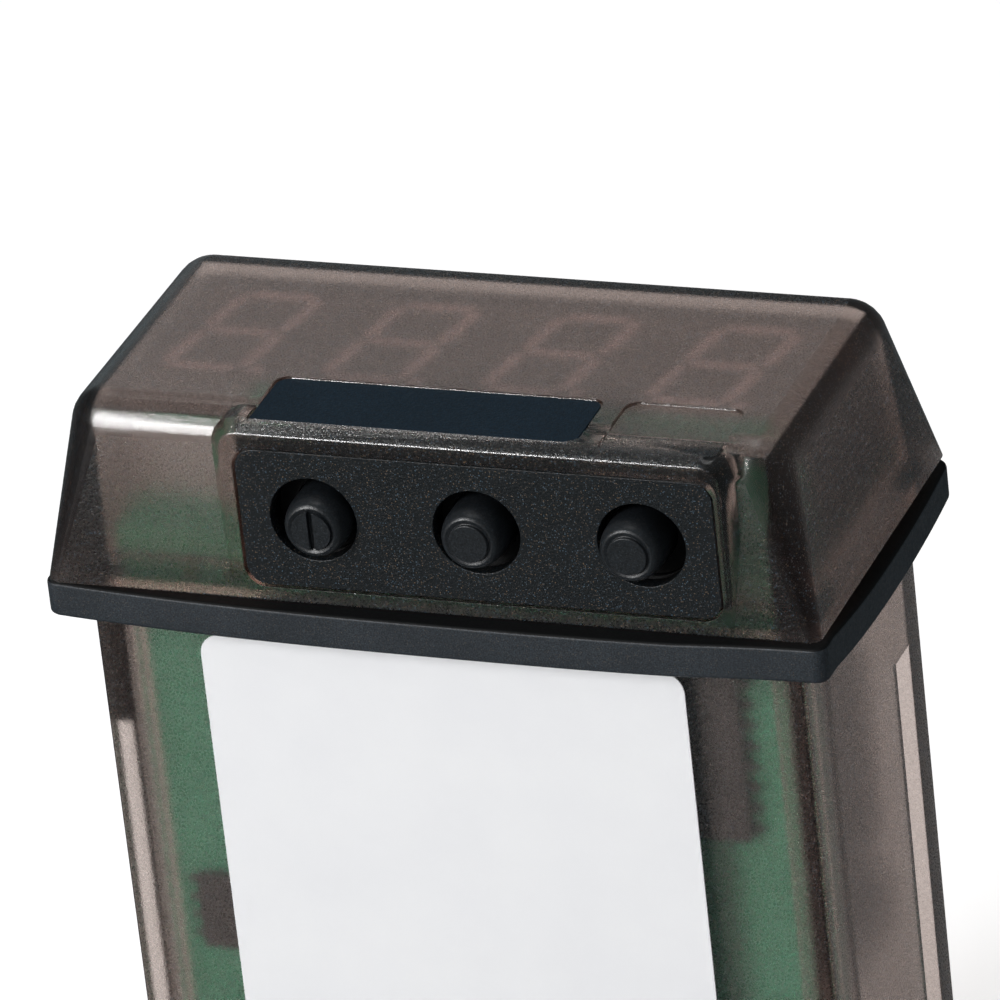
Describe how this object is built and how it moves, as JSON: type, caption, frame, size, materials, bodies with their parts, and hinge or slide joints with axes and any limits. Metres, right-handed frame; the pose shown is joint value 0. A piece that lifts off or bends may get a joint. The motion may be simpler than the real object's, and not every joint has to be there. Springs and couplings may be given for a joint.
{
  "type": "digital panel meter",
  "caption": "Small panel-mounted numeric indicator: smoked translucent case with a leaning bezel, seven-segment digits, a front keypad with push-buttons and rear screw terminals.",
  "frame": {"origin": "centre of the bezel's back face, on the axis of the body", "axes": "+Z out of the panel towards the reader, along the depth; +X along the row of digits; +Y up the digits, so the keypad faces -Y"},
  "size_m": [0.0484, 0.0254, 0.0736],
  "materials": {
    "smoked_case": "smoked translucent polycarbonate with a fine moulded grain",
    "gasket_rubber": "matte black rubber",
    "keypad_black": "black with a fine grain",
    "button_black": "satin black",
    "switch_black": "black moulding",
    "plunger_red": "moulded plastic",
    "plated_steel": "plated",
    "name_blue": "printed film, dark blue",
    "paper_white": "coated paper",
    "display_brown": "dark face of a numeric display",
    "segment_pale": "diffusing resin",
    "tinned_pins": "tinned",
    "board_green": "green solder mask",
    "gold_pins": "gilt",
    "chip_black": "moulded epoxy",
    "ferrite": "sintered ferrite",
    "winding_tape": "polyester tape",
    "capacitor_sleeve": "shrink sleeve",
    "relay_black": "moulded cover",
    "block_grey": "moulded polyamide",
    "screw_steel": "zinc plated",
    "cover_black": "fine moulded grain"
  },
  "bodies": {
    "meter": {"case": "smoked_case", "panel_gasket": "gasket_rubber", "keypad_plate": "keypad_black", "switch_1": "switch_black", "switch_2": "switch_black", "switch_3": "switch_black", "switch_plates": "plated_steel", "name_plate": "name_blue", "rating_label": "paper_white", "display_housing": "display_brown", "digit_segments": "segment_pale", "display_pins": "tinned_pins", "display_board": "board_green", "key_board": "board_green", "main_board": "board_green", "link_header": "switch_black", "link_pins": "gold_pins", "interface_chip": "chip_black", "processor_chip": "chip_black", "small_chips": "chip_black", "transformer_core": "ferrite", "transformer_winding": "winding_tape", "filter_capacitors": "capacitor_sleeve", "relay_1": "relay_black", "relay_2": "relay_black", "terminal_block": "block_grey", "wire_clamps": "plated_steel", "clamp_screws": "screw_steel", "terminal_pins": "tinned_pins", "rear_cover": "cover_black"},
    "key_1": {"button_1": "button_black", "plunger_1": "plunger_red"},
    "key_2": {"button_2": "button_black", "plunger_2": "plunger_red"},
    "key_3": {"button_3": "button_black", "plunger_3": "plunger_red"}
  },
  "joints": [
    {"name": "button_1_press", "type": "slide", "parent": "meter", "child": "key_1", "axis": [0, 1, 0], "range_m": [0, 0.00025], "stiffness_N_per_m": 300},
    {"name": "button_2_press", "type": "slide", "parent": "meter", "child": "key_2", "axis": [0, 1, 0], "range_m": [0, 0.00025], "stiffness_N_per_m": 300},
    {"name": "button_3_press", "type": "slide", "parent": "meter", "child": "key_3", "axis": [0, 1, 0], "range_m": [0, 0.00025], "stiffness_N_per_m": 300}
  ]
}
